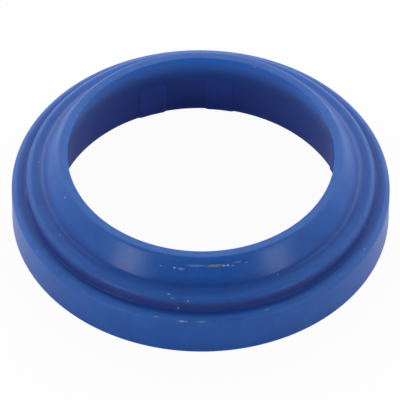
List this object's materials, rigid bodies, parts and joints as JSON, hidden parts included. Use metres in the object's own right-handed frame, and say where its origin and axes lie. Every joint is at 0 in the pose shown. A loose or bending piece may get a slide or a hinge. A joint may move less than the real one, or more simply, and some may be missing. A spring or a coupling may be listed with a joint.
{
  "type": "wiper seal",
  "caption": "Rod wiper seal: a one-piece ring with a square heel, a stepped outside, a conical wiping lip and low pads inside the heel bore.",
  "frame": {"origin": "centre of the heel face, on the rod's axis", "axes": "+Z along the rod's axis, from the heel to the wiping lip; +X through the middle of a pair of pads"},
  "size_m": [0.06, 0.06, 0.0135],
  "materials": {
    "polyurethane": "satin moulded polyurethane, blue, slightly translucent"
  },
  "bodies": {
    "root": {"wiper_seal": "polyurethane"}
  },
  "joints": []
}
